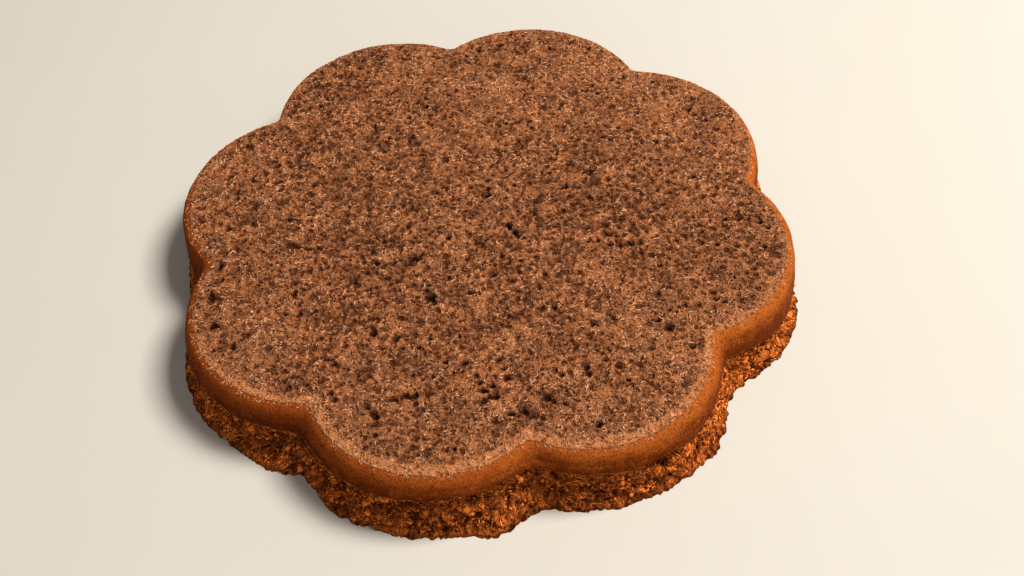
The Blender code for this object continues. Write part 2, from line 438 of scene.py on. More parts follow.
@dataclass
class CutFace:
    """The level-cut face: where its air holes are, and how it rises and falls."""

    height: float = 26.3
    edge_fade: float = 1.2
    inner_zone: float = 2.5
    highest: float = 0.35
    outline: PetalOutline = field(default_factory=PetalOutline)
    shoulder: Shoulder = field(default_factory=Shoulder)
    texture: Texture3D = field(default_factory=lambda: Texture3D(5))
    # The air holes that are drawn by chance, and where they may lie.
    hole_seed: int = 17
    deep_count: int = 150
    shallow_count: int = 330
    medium_width: Span = (1.5, 3.0)
    pit_count: int = 2300
    pit_width: Span = (0.9, 1.7)
    size_share: Span = (0.8, 1.0)
    shape_share: Span = (0.6, 1.0)
    hole_to_edge: float = 1.2
    hole_to_hole: float = 0.15
    loose_patches: Pattern = Pattern(13, 60, 0.9)
    # The form of a hole.
    rim_coarse: Pattern = Pattern(2.1, 71, 0.42)
    rim_fine: Pattern = Pattern(0.95, 70, 0.26)
    wall_share: float = 0.35
    # The relief between the holes: gentle waves, foam with walls between its cells, and grit.
    swell: Pattern = Pattern(34, 0, 0.20)
    ripple: Pattern = Pattern(9, 2, 0.12)
    foam: Pattern = Pattern(2.9, 20)
    foam_wall: float = 0.4
    foam_rise: float = 0.22
    foam_drop: float = 0.56
    grit: Pattern = Pattern(1.7, 4)
    grit_least: float = 0.16
    grit_gain: float = 0.22
    grit_sink: float = 0.1
    # Painted shade in the dips: the rise where it begins and is full, and its strength.
    dip_shade_levels: Span = (-0.12, -0.6)
    dip_shade: float = 0.75
    # The mesh: an even field of vertices, and rings of them in each hole.
    mesh_step: float = 1.02
    mesh_seed: int = 3
    mesh_stir: float = 0.22
    edge_margin: float = 0.55
    hole_margin: float = 0.55
    rim_step: float = 0.62
    least_sides: int = 8
    pit_sides: int = 6
    ring_shares: tuple[float, float, float] = (1.0, 0.78, 0.42)
    point_square: float = 4.0
    hole_square: float = 6.0
    holes: list[AirHole] = field(default_factory=notable_holes)

    def __post_init__(self) -> None:
        """Adds the air holes that are drawn by chance to the notable ones."""
        draw = random.Random(self.hole_seed)
        self.scatter(draw, self.deep_count, self.medium_width, HoleKind.DEEP)
        self.scatter(draw, self.shallow_count, self.medium_width, HoleKind.SHALLOW)
        self.scatter(draw, self.pit_count, self.pit_width, HoleKind.PIT)

    def depth_inside(self, places: Points) -> Scalars:
        """Roughly how far inside the face's edge each place lies."""
        heading, away = self.outline.polar(places)
        return self.outline.reach(heading, self.shoulder.width(heading)) - away

    def scatter(self, draw: random.Random, count: int, width: Span, kind: HoleKind) -> None:
        """Adds random air holes, thicker in the looser patches of the crumb and clear of others.

        Args:
            draw: Source of random numbers.
            count: How many holes.
            width: Least and greatest width.
            kind: How the holes look.
        """
        index = GridIndex(self.hole_square, [(hole.x, hole.y) for hole in self.holes])
        wanted = len(self.holes) + count
        while len(self.holes) < wanted:
            reach = self.outline.across / 2 * math.sqrt(draw.random())
            angle = draw.uniform(0, math.tau)
            x, y = reach * math.cos(angle), reach * math.sin(angle)
            size = draw.uniform(*width) * draw.uniform(*self.size_share)
            luck = draw.random()
            place = np.array([[x, y, 0.0]])
            if self.depth_inside(place)[0] < self.hole_to_edge + size:
                continue
            if luck > 0.5 + self.texture.smooth(place, self.loose_patches)[0]:
                continue
            near = [self.holes[i] for i in index.near(x, y, self.hole_square)]
            gaps = [math.hypot(x - h.x, y - h.y) - (size + h.length) * 0.5 for h in near]
            if any(gap < self.hole_to_hole for gap in gaps):
                continue
            shape = size * draw.uniform(*self.shape_share)
            self.holes.append(AirHole(x, y, size, shape, draw.uniform(0, 180), kind))
            index.add(x, y)

    def warp(self, places: Points) -> Scalars:
        """Factor that makes the rims of the holes uneven."""
        coarse = self.texture.smooth(places, self.rim_coarse)
        return 1 + coarse + self.texture.smooth(places, self.rim_fine)

    def mesh_places(self, edge: Points) -> Points:
        """Places for the face's inner vertices: an even field, with rings in each hole.

        Args:
            edge: The face's edge as points in order.

        Returns:
            Places inside the edge, as (x, y, height).
        """
        step = self.mesh_step
        reach = self.outline.across / 2 + step
        rows = []
        for number, y in enumerate(np.arange(-reach, reach, step * math.sqrt(3) / 2)):
            x = np.arange(-reach, reach, step) + (number % 2) * step / 2
            rows.append(np.stack([x, np.full(len(x), y)], axis=1))
        grid = np.concatenate(rows)
        stir = np.random.default_rng(self.mesh_seed)
        grid += stir.uniform(-self.mesh_stir, self.mesh_stir, grid.shape) * step
        free = np.ones(len(grid), bool)
        rings = []
        index = GridIndex(self.point_square, grid)
        for hole in self.holes:
            near = index.near(hole.x, hole.y, hole.length)
            inside = hole.local(grid[near]) < 1.0 + self.hole_margin * step / hole.width
            free[near[inside]] = False
            rings.append(self.hole_rings(hole))
        places = np.concatenate([grid[free], *rings])
        places = np.column_stack([places, np.full(len(places), self.height)])
        return places[self.within(places, edge, self.edge_margin)]

    def within(self, places: Points, edge: Points, margin: float) -> np.ndarray:
        """Which places lie inside the edge.

        Args:
            places: Places to test.
            edge: The face's edge as points in order.
            margin: How far inside the edge they have to lie.

        Returns:
            True for each place that does.
        """
        heading, away = self.outline.polar(places)
        edge_heading, edge_away = self.outline.polar(edge)
        order = np.argsort(edge_heading)
        limit = np.interp(heading, edge_heading[order], edge_away[order], period=math.tau)
        return away < limit - margin

    def hole_rings(self, hole: AirHole) -> Points:
        """Rings of vertices from one hole's uneven rim down to its middle.

        Args:
            hole: The hole; a pit has a single ring.

        Returns:
            The places of the vertices, as (x, y), with the middle last.
        """
        if hole.kind is HoleKind.PIT:
            plan = [(self.ring_shares[0], self.pit_sides)]
        else:
            around = math.pi * (hole.length + hole.width) / 2
            sides = max(self.least_sides, int(around / self.rim_step))
            plan = list(zip(self.ring_shares, (sides, sides, sides // 2)))
        middle = np.array([hole.x, hole.y])
        rings = []
        for share, count in plan:
            ring = hole.ring(share, count)
            flat = np.column_stack([ring, np.full(len(ring), self.height)])
            rings.append(middle + (ring - middle) / self.warp(flat)[:, None])
        return np.concatenate([*rings, [middle]])

    def relief(self, places: Points) -> tuple[Scalars, Scalars]:
        """Height of the face and the painted shade of its holes and dips.

        Args:
            places: Points on the flat cut.

        Returns:
            How far each place rises, and how much painted shade lies on it in a hole or dip, from 0 to 1.
        """
        flat = places.copy()
        flat[:, 2] = self.height
        inward = ramp(self.depth_inside(flat), 0.0, self.inner_zone)
        rise = self.texture.smooth(flat, self.swell) + self.texture.smooth(flat, self.ripple)
        nearest, second = self.texture.cells(flat, self.foam)
        walls = ramp(second - nearest, 0.0, self.foam_wall)
        rise += inward * (self.foam_rise - self.foam_drop * walls)
        grit = (self.grit_least + self.grit_gain * inward) * self.texture.smooth(flat, self.grit)
        rise += grit - self.grit_sink
        depth, dark = self.hollows(flat)
        # Painted shade in the dips of the relief as well as in the holes.
        dark = np.maximum(dark, self.dip_shade * ramp(rise, *self.dip_shade_levels))
        return np.minimum(rise, self.highest) - depth, dark

    def hollows(self, flat: Points) -> tuple[Scalars, Scalars]:
        """What the air holes take away.

        Args:
            flat: Points on the flat cut.

        Returns:
            The depth of the holes at each place, and how much painted shade lies in them, from 0 to 1.
        """
        depth, dark = np.zeros(len(flat)), np.zeros(len(flat))
        stretch = self.warp(flat)
        index = GridIndex(self.point_square, flat)
        for hole in self.holes:
            sink, steepness, shade_strength = hole.kind.value
            near = index.near(hole.x, hole.y, hole.length)
            share = hole.local(flat[near]) * stretch[near]
            near, share = near[share < 1], share[share < 1]
            if hole.kind is HoleKind.BUBBLE:
                profile = np.sqrt(1 - share**2)
            else:
                profile = np.clip((1 - share) / self.wall_share, 0, 1) ** steepness
            depth[near] = np.maximum(depth[near], sink * hole.width * profile)
            # Painted shade, strongest at the hole's floor and fading to its rim.
            dark[near] = np.maximum(dark[near], shade_strength * profile)
        return depth, dark


# --- The layer ---


class Descent:
    """Landmarks on the way from the cut face over the shoulder and down the side."""

    FACE = 0.0
    EDGE = 1.0
    BAND_TOP = 2.0
    BAND_FOOT = 3.0
    TORN = 4.0


@dataclass(frozen=True)
class TornRelief:
    """Relief of the torn side: crags, lumps of crumb with creases between them, and deep pits."""

    crag_size: float = 6.5
    crag_depth: float = 1.6
    stir: Pattern = Pattern(1.7, 90, 0.9)
    looseness: float = 0.8
    loose_patches: Pattern = Pattern(11, 40, 0.5)
    lumps: Pattern = Pattern(3.2, 20, 1.5)
    lump_level: float = 0.5
    grains: Pattern = Pattern(1.7, 30, 0.9)
    grain_level: float = 0.45
    crease_width: float = 0.26
    crease_depth: float = 0.9
    pits: Pattern = Pattern(4.6, 50, 1.9)
    pit_levels: Span = (0.44, 0.24)
    sink: float = 0.35

    def push(self, points: Points, middle: Points, texture: Texture3D) -> Scalars:
        """How far the torn side stands out.

        Args:
            points: Points on the plain side.
            middle: The tin's middle, from which the crags of the solid are measured.
            texture: Source of the noise.

        Returns:
            The push at each point, below 0 where it is hollow.
        """
        large = np.array([crag_noise.noise(p) for p in (points - middle) / self.crag_size])
        stirred = points + texture.smooth(points, self.stir)[:, None]
        lumps, beyond = texture.cells(stirred, self.lumps)
        grains, _ = texture.cells(stirred, self.grains)
        pits, _ = texture.cells(stirred, self.pits)
        crumb = self.lumps.strength * (self.lump_level - lumps)
        crumb = crumb + self.grains.strength * (self.grain_level - grains)
        crumb -= self.crease_depth * ramp(beyond - lumps, self.crease_width, 0.0)
        crumb *= self.looseness + texture.smooth(points, self.loose_patches)
        crumb -= self.sink + self.pits.strength * ramp(pits, *self.pit_levels)
        return self.crag_depth * large + crumb


@dataclass
class SpongeLayer:
    """The layer as one closed mesh at the scale of its crumb."""

    # The band of crust and its ragged lower edge.
    band_flare: float = 1.2
    band_bulge: float = 0.3
    band_foot: float = 14.2
    band_rise: float = 3.8
    band_highest_at: float = 288.0
    band_rise_half_angle: float = 33.0
    band_ripple: float = 0.6
    band_ripples: int = 5
    band_ripple_phase: float = 1.0
    band_rags: tuple[Pattern, Pattern] = (Pattern(9, 0, 1.1), Pattern(3, 3, 0.9))
    band_hangs: Bumps = ((3, 9.0), (193, 8.0))
    band_hang_half_angle: float = 11.0
    # The step below the band, where the crust has pulled away.
    skin_step: float = 1.5
    skin_step_share: float = 0.65
    skin_step_waver: Pattern = Pattern(17, 7, 0.55)
    skin_step_drop: float = 1.3
    skin_step_curve: float = 0.7
    # The torn side down to the foot.
    torn_curve: float = 2.4
    torn_relief: TornRelief = field(default_factory=TornRelief)
    foot_height: float = 1.6
    foot_flare: float = 4.3
    foot_zone: float = 0.72
    base_flare: float = 5.2
    base_relief: float = 0.5
    least_height: float = 0.3
    foot_clumps: Bumps = (
        (244, 3.4), (259, 2.0), (286, 3.8), (326, 1.8), (7, -2.4), (64, 2.0), (158, 2.4), (191, -2.4),
    )
    clump_half_angle: float = 4.5
    # The unevenness of the crust and of the open crumb of the shoulder.
    skin_waves: tuple[Pattern, Pattern] = (Pattern(7, 80, 0.22), Pattern(2.2, 81, 0.12))
    crumb_waves: Pattern = Pattern(1.7, 82, 0.34)
    crumb_sink: float = 0.1
    # Where each look begins and ends.
    torn_start_descent: float = 0.2
    # Painted shade in the hollows of the torn side: the push where it begins and is full, and its
    # strength.
    hollow_shade_levels: Span = (-0.3, -2.4)
    hollow_shade_strength: float = 0.8
    # Painted highlight on the proud lumps of the torn side: the push where it begins and is full.
    proud_highlight_levels: Span = (0.1, 1.5)
    blush_widths: Span = (4.5, 5.6)
    crust_inset: float = 3.2
    crust_lap: float = -0.5
    crust_blend: float = 2.4
    # Painted shade darkens the crust most at this heading.
    shaded_side_at: float = 190.0
    glow_zone: float = 6.0
    # The mesh.
    columns: int = 940
    even_inset: float = 3.0
    shoulder_rings: int = 9
    band_rings: int = 6
    step_rings: int = 3
    torn_rings: int = 22
    merge_distance: float = 1e-6
    face: CutFace = field(default_factory=CutFace)
    texture: Texture3D = field(default_factory=lambda: Texture3D(11))
    side: Points = field(init=False)
    side_normals: Points = field(init=False)

    @property
    def thickness(self) -> float:
        """Height of the layer, up to the plain cut."""
        return self.face.height

    @property
    def outline(self) -> PetalOutline:
        """The outline that the face and the side share."""
        return self.face.outline

    @property
    def middle(self) -> Points:
        """The tin's middle, on the base."""
        return np.array([*self.outline.middle, 0.0])

    @property
    def torn_start(self) -> int:
        """Number of the first ring that is torn crumb."""
        return self.shoulder_rings + self.band_rings + self.step_rings - 1

    def band_edge(self, angle: Scalars) -> Scalars:
        """The band's ragged lower edge: high on one side, hanging low at two places.

        Args:
            angle: Headings in radians.

        Returns:
            Its height at each heading.
        """
        rise = self.band_rise * bell(angle, self.band_highest_at, self.band_rise_half_angle)
        rise -= bells(angle, self.band_hangs, self.band_hang_half_angle)
        rise += self.band_ripple * np.sin(self.band_ripples * angle + self.band_ripple_phase)
        around = on_ring(angle, self.outline.across / 2)
        coarse, fine = (self.texture.smooth(around, rags) for rags in self.band_rags)
        return self.band_foot + rise + (coarse + fine)

    def clump(self, angle: Scalars) -> Scalars:
        """How far the crumbs at the foot stand out, or draw in where it is below 0."""
        return bells(angle, self.foot_clumps, self.clump_half_angle)

    def stations(self, angle: Scalars) -> list[tuple[Scalars, Scalars, float, Scalars]]:
        """Rings of the side, top down.

        Args:
            angle: Headings of the columns.

        Returns:
            For each ring its inset, its height, how much its normal points up and its descent.
        """
        flat = np.ones(len(angle))
        around = on_ring(angle, self.outline.across / 2)
        waver = self.skin_step_share + self.texture.smooth(around, self.skin_step_waver)
        step = self.skin_step * waver
        edge = self.band_edge(angle)
        width, drop = self.face.shoulder.width(angle), self.face.shoulder.drop(angle)
        rings = []
        for number in range(self.shoulder_rings):
            share = number / self.shoulder_rings
            turn = math.pi / 2 * share
            height = self.thickness - drop * (1 - math.cos(turn))
            descent = (Descent.EDGE + share) * flat
            rings.append((width * (1 - math.sin(turn)), height, math.cos(turn), descent))
        band_top = self.thickness - drop
        for number in range(self.band_rings):
            share = number / (self.band_rings - 1)
            out = self.band_flare * share + self.band_bulge * math.sin(math.pi * share)
            height = band_top + (edge - band_top) * share
            rings.append((-out * flat, height, 0.0, (Descent.BAND_TOP + share) * flat))
        for number in range(1, self.step_rings + 1):
            share = number / self.step_rings
            inset = step * share**self.skin_step_curve - self.band_flare
            height = edge - self.skin_step_drop * share
            rings.append((inset, height, 0.0, (Descent.BAND_FOOT + share) * flat))
        torn_top, start = edge - self.skin_step_drop, step - self.band_flare
        for number in range(1, self.torn_rings + 1):
            share = number / self.torn_rings
            footing = ramp(np.array([share]), self.foot_zone, 1.0)[0]
            inset = start - (start + self.foot_flare) * share**self.torn_curve
            inset = inset - self.clump(angle) * footing
            height = torn_top + (self.foot_height - torn_top) * share
            rings.append((inset, height, 0.0, Descent.TORN * flat))
        rings.append((-self.base_flare - self.clump(angle), 0 * flat, 0.0, Descent.TORN * flat))
        return rings

    def build_side(self, angle: Scalars) -> dict[str, Scalars]:
        """Works out the points of the side, ring after ring.

        Args:
            angle: Headings of the columns.

        Returns:
            The finish masks by name.
        """
        heading = on_ring(angle, 1.0)
        points, normals, descents, insets = [], [], [], []
        for inset, height, lean, descent in self.stations(angle):
            ring = heading * self.outline.reach(angle, inset, height / self.thickness)[:, None]
            ring += self.middle
            ring[:, 2] = height
            points.append(ring)
            normals.append(heading * math.sqrt(1 - lean**2) + np.array([0.0, 0.0, lean]))
            descents.append(descent)
            insets.append(inset)
        base, normal = np.concatenate(points), np.concatenate(normals)
        descent = np.concatenate(descents)
        torn = ramp(descent, Descent.BAND_FOOT + self.torn_start_descent, Descent.TORN)
        baked = self.baked(np.tile(angle, len(points)), np.concatenate(insets))
        push = self.torn_relief.push(base, self.middle, self.texture) * torn
        coarse, fine = (self.texture.smooth(base, waves) for waves in self.skin_waves)
        crumb = self.texture.smooth(base, self.crumb_waves) - self.crumb_sink
        last = len(base) - len(angle)
        push[last:] *= self.base_relief
        rise = push + (coarse + fine) * (baked * (1 - torn)) + crumb * (1 - baked)
        moved = base + normal * rise[:, None]
        moved[last:, 2] = 0.0
        moved[:last, 2] = np.maximum(moved[:last, 2], self.least_height)
        self.side = moved.reshape(-1, self.columns, 3)
        self.side_normals = normal.reshape(-1, self.columns, 3)
        blush = ramp(self.face.shoulder.width(angle), *self.blush_widths)
        return {
            "descent": descent,
            # Painted shade in the torn side's hollows and painted highlight on its proud lumps.
            "hollow_shade": self.hollow_shade_strength * torn * ramp(push, *self.hollow_shade_levels),
            "proud": torn * ramp(push, *self.proud_highlight_levels),
            "blush": np.tile(blush, len(self.side)),
            "baked": baked,
            # Painted shade on the crust, by heading.
            "side_shade": np.tile(self.side_shade(angle), len(self.side)),
        }

    def side_shade(self, angle: Scalars) -> Scalars:
        """How much painted shade darkens the crust at each heading, from 0 to 1."""
        return (1 + np.cos(angle - math.radians(self.shaded_side_at))) / 2

    def baked(self, angle: Scalars, inset: Scalars) -> Scalars:
        """How much of the crust shows, from 0 on open crumb to 1 on the band.

        Args:
            angle: Headings in radians.
            inset: How far in from the outline each place lies.

        Returns:
            One share for each place; 0.5 lies where the crumb gives way to crust.
        """
        start = np.minimum(self.crust_inset, self.face.shoulder.width(angle) + self.crust_lap)
        return np.clip(0.5 + (start - inset) / self.crust_blend, 0, 1)

    def on_side(self, ring: Scalars, column: Scalars) -> tuple[Points, Points]:
        """Points and normals of the side between its rings and columns.

        Args:
            ring: Ring numbers, with shares.
            column: Column numbers, with shares.

        Returns:
            The points and the normals.
        """
        row = np.clip(np.floor(ring).astype(int), 0, len(self.side) - 2)
        place = np.floor(column).astype(int)
        down, along = (ring - row)[..., None], (column - place)[..., None]
        left, right = place % self.columns, (place + 1) % self.columns
        found = []
        for grid in (self.side, self.side_normals):
            upper = grid[row, left] * (1 - along) + grid[row, right] * along
            lower = grid[row + 1, left] * (1 - along) + grid[row + 1, right] * along
            found.append(upper * (1 - down) + lower * down)
        return found[0], found[1]

    def mesh(self) -> bpy.types.Mesh:
        """Builds the whole layer.

        Returns:
            One closed mesh with its finish masks.
        """
        masks = self.build_side(self.outline.even_angles(self.columns, self.even_inset))
        side = self.side.reshape(-1, 3)
        edge = self.side[0]
        places = np.concatenate([edge, self.face.mesh_places(edge)])
        triangles = self.face_triangles(places, edge)
        triangles[triangles >= self.columns] += len(side) - self.columns
        faces = [tuple(face) for face in triangles.tolist()]
        faces += self.side_faces()
        faces.append(tuple(range(len(side) - 1, len(side) - self.columns - 1, -1)))
        rise, dark = self.face.relief(places)
        inside = self.face.depth_inside(places)
        fade = ramp(inside, 0.0, self.face.edge_fade)
        top = places.copy()
        top[:, 2] = self.thickness + rise * fade
        points = np.concatenate([side, top[self.columns :]])
        heading, _ = self.outline.polar(places)
        width = self.face.shoulder.width(heading)
        inner_masks = {
            "descent": np.clip(Descent.EDGE - inside / self.glow_zone, Descent.FACE, Descent.EDGE),
            # Painted shade in the air holes and dips of the face; the face gets no painted highlight.
            "hollow_shade": dark * fade,
            "proud": 0 * dark,
            "blush": ramp(width, *self.blush_widths),
            "baked": self.baked(heading, inside + width),
            # Painted shade on the crust, by heading.
            "side_shade": self.side_shade(heading),
        }
        joined = {
            name: np.concatenate([masks[name], values[self.columns :]])
            for name, values in inner_masks.items()
        }
        return write_mesh("sponge_layer_crumb", points, faces, joined)

    def face_triangles(self, places: Points, edge: Points) -> np.ndarray:
        """Joins the places of the cut face up.

        Args:
            places: The edge's points and then those inside it.
            edge: The face's edge as points in order.

        Returns:
            Triangles as numbers of the places.
        """
        flat = [Vector((x, y)) for x, y in places[:, :2]]
        rim = [list(range(self.columns))]
        made = geometry.delaunay_2d_cdt(flat, [], rim, INSIDE_ONLY, self.merge_distance, True)
        source = np.array([origin[0] for origin in made[3]])
        triangles = source[np.array(made[2])]
        return triangles[self.face.within(places[triangles].mean(axis=1), edge, 0.0)]

    def side_faces(self) -> list[tuple[int, int, int]]:
        """Joins the rings of the side up, with every other quad split the other way.

        Returns:
            Triangles as point numbers.
        """
        faces = []
        for ring in range(len(self.side) - 1):
            for i in range(self.columns):
                j = (i + 1) % self.columns
                a, b = ring * self.columns + i, ring * self.columns + j
                c, d = b + self.columns, a + self.columns
                if (i + ring) % 2:
                    faces += [(a, d, b), (b, d, c)]
                else:
                    faces += [(a, d, c), (a, c, b)]
        return faces


def write_mesh(
    name: str, points: Points, faces: Sequence[Sequence[int]], masks: dict[str, Scalars]
) -> bpy.types.Mesh:
    """Writes a smooth mesh in metres.

    Args:
        name: Name of the mesh.
        points: Points in millimetres.
        faces: Faces as point numbers.
        masks: Numbers for each point, by name.

    Returns:
        The new mesh.
    """
    mesh = bpy.data.meshes.new(name)
    mesh.from_pydata((points * MM).tolist(), [], faces)
    for key, values in masks.items():
        layer = mesh.attributes.new(key, "FLOAT", "POINT")
        layer.data.foreach_set("value", values.astype(np.float32))
    mesh.update()
    mesh.shade_smooth()
    triangles = sum(len(face) - 2 for face in faces)
    LOG.info("%s: %d points, %d triangles", name, len(points), triangles)
    return mesh


# --- Shreds and grains ---


def threads(
    name: str, spine: Points, normal: Points, thick: Scalars, tone: Scalars
) -> bpy.types.Mesh:
    """Closed, pointed threads with a three-sided section.

    Args:
        name: Name of the mesh.
        spine: Points by joint and thread.
        normal: The surface's normals at those points.
        thick: Thickness of each thread.
        tone: Shade of each thread, from 0 to 1.

    Returns:
        The mesh of all the threads.
    """
    sides = 3
    taper_part = (0.14, 0.72)
    joints, count, _ = spine.shape
    along = np.gradient(spine, axis=0)
    side = np.cross(along, normal)
    side /= np.linalg.norm(side, axis=2, keepdims=True)
    up = np.cross(side, along)
    up /= np.linalg.norm(up, axis=2, keepdims=True)
    taper = arch(np.arange(joints) / (joints - 1), *taper_part)
    size = taper[:, None, None] * thick[None, :, None]
    corners = []
    for k in range(sides):
        turn = math.pi / 2 + math.tau * k / sides
        corners.append(spine + size * (side * math.cos(turn) + up * math.sin(turn)))
    points = np.stack(corners, axis=2).transpose(1, 0, 2, 3).reshape(-1, 3)
    pattern = []
    for joint in range(joints - 1):
        for k in range(sides):
            a, b = sides * joint + k, sides * joint + (k + 1) % sides
            pattern += [(a, b + sides, b), (a, a + sides, b + sides)]
    end = sides * (joints - 1)
    pattern += [(0, 1, 2), (end, end + 2, end + 1)]
    shape = np.array(pattern)[None] + (np.arange(count) * sides * joints)[:, None, None]
    tones = {"tone": np.repeat(tone, sides * joints)}
    return write_mesh(name, points, shape.reshape(-1, 3).tolist(), tones)


def arch(share: Scalars, start: float, span: float) -> Scalars:
    """Height of an arch of half a turn, of which a span is used from a start on."""
    return np.sin(math.pi * (start + span * share))


@dataclass
class Shreds:
    """What each set of shreds has: its source of random numbers, their number and their sizes."""

    name: str
    seed: int
    count: int
    length: Span
    thickness: Span
    joints: int = 3

    @property
    def shares(self) -> Scalars:
        """How far along a shred each of its joints lies, from 0 to 1."""
        return np.arange(self.joints) / (self.joints - 1)


@dataclass
class FaceCurls(Shreds):
    """Curled shreds of cell wall that the knife left standing on the cut face."""

    bend: float = 2.0
    lift: Span = (-0.05, 0.20)
    lift_share: Span = (0.3, 1.0)
    arch_part: tuple[float, float] = (0.18, 0.64)
    edge_zone: float = 6.0
    edge_gap: float = 0.5
    combed_share: float = 0.75
    combed_spread: float = 0.5
    combed_straight: float = 0.6
    deepest: float = 0.4
    highest: float = 0.45
    # The painted shade of a hole or dip past which no curl is set.
    shade_limit: float = 0.5
    overhang: float = 0.3
    rare_levels: Span = (-0.45, -0.1)
    rarest: float = 0.2

    def mesh(self, layer: SpongeLayer) -> bpy.types.Mesh:
        """All the curls in one mesh.

        Args:
            layer: The layer on whose cut face they stand.

        Returns:
            A mesh of closed threads.
        """
        face = layer.face
        draw = np.random.default_rng(self.seed)
        spine = self.laid_out(face, draw)
        rows = spine.shape[:2]
        rise, dark = face.relief(spine.reshape(-1, 3))
        inside = face.depth_inside(spine.reshape(-1, 3))
        ground = (face.height + rise * ramp(inside, 0, face.edge_fade)).reshape(rows)
        ground = np.maximum(ground, ground.max(axis=0) - self.deepest)
        lift = draw.uniform(*self.lift, rows[1]) * draw.uniform(*self.lift_share, rows[1])
        height = ground + lift * arch(self.shares, *self.arch_part)[:, None]
        spine[:, :, 2] = np.minimum(height, face.height + self.highest)
        # Curls are left off where the painted shade of a hole or dip passes the limit.
        keep = dark.reshape(rows).max(axis=0) < self.shade_limit
        keep &= inside.reshape(rows).min(axis=0) > -self.overhang
        proud = ramp(rise.reshape(rows).mean(axis=0), *self.rare_levels)
        keep &= draw.random(rows[1]) < self.rarest + (1 - self.rarest) * proud
        thick = draw.uniform(*self.thickness, rows[1])
        tone = draw.uniform(0, 1, rows[1])
        up = np.broadcast_to(np.array([0.0, 0.0, 1.0]), spine[:, keep].shape)
        return threads(self.name, spine[:, keep], up, thick[keep], tone[keep])

    def laid_out(self, face: CutFace, draw: np.random.Generator) -> Points:
        """Draws where the curls lie; near the face's edge most are combed outwards.

        Args:
            face: The cut face that they stand on.
            draw: Source of random numbers.

        Returns:
            Points on the flat cut, by joint and curl.
        """
        reach = face.outline.across / 2
        tries = draw.uniform(-reach, reach, (self.count * 2, 2))
        tries = np.column_stack([tries, np.full(len(tries), face.height)])
        inside = face.depth_inside(tries)
        at = tries[inside > self.edge_gap][: self.count]
        inside = inside[inside > self.edge_gap][: self.count]
        count = len(at)
        outward, _ = face.outline.polar(at)
        combed = ramp(inside, self.edge_zone, 1.0)
        turn = draw.uniform(0, math.tau, count)
        chosen = draw.random(count) < self.combed_share * combed
        turn = np.where(chosen, outward + draw.normal(0, self.combed_spread, count), turn)
        step = draw.uniform(*self.length, count) / (self.joints - 1)
        bend = draw.normal(0, self.bend, count) * (1 - self.combed_straight * combed)
        spine = []
        for share in self.shares:
            spine.append(at)
            heading = turn + bend * (share - 0.5)
            at = at + np.stack([np.cos(heading), np.sin(heading), 0 * heading], 1) * step[:, None]
        return np.stack(spine)


@dataclass(kw_only=True)
class SideShreds(Shreds):
    """Shreds of crumb on a stretch of the side."""

    rings: Span
    lift: Span
    lift_share: Span = (0.2, 1.0)
    bend: float = 1.6
    arch_part: tuple[float, float] = (0.15, 0.6)

    def mesh(self, layer: SpongeLayer) -> bpy.types.Mesh:
        """All the shreds in one mesh.

        Args:
            layer: The layer that they stand on, already built.

        Returns:
            A mesh of closed threads.
        """
        draw = np.random.default_rng(self.seed)
        ring = draw.uniform(*self.rings, self.count)
        column = draw.uniform(0, layer.columns, self.count)
        turn = draw.uniform(0, math.tau, self.count)
        bend = draw.normal(0, self.bend, self.count)
        length = draw.uniform(*self.length, self.count)
        lift = draw.uniform(*self.lift, self.count) * draw.uniform(*self.lift_share, self.count)
        spine, normals = [], []
        for share, height in zip(self.shares, arch(self.shares, *self.arch_part)):
            heading = turn + bend * (share - 0.5)
            away = length * (share - 0.5)
            place, normal = layer.on_side(
                np.clip(ring + np.cos(heading) * away, self.rings[0] - 1, self.rings[1] + 1),
                column + np.sin(heading) * away,
            )
            spine.append(place + normal * (lift * height)[:, None])
            normals.append(normal)
        thick = draw.uniform(*self.thickness, self.count)
        tone = draw.uniform(0, 1, self.count)
        return threads(self.name, np.stack(spine), np.stack(normals), thick, tone)


def unit_ball(detail: int) -> tuple[Points, np.ndarray]:
    """A round ball of radius 1.

    Args:
        detail: 1 for 20 faces, 2 for 80.

    Returns:
        Its points and its triangles.
    """
    form = bmesh.new()
    bmesh.ops.create_icosphere(form, subdivisions=detail, radius=1)
    points = np.array([v.co[:] for v in form.verts])
    faces = np.array([[v.index for v in face.verts] for face in form.faces])
    form.free()
    return points, faces


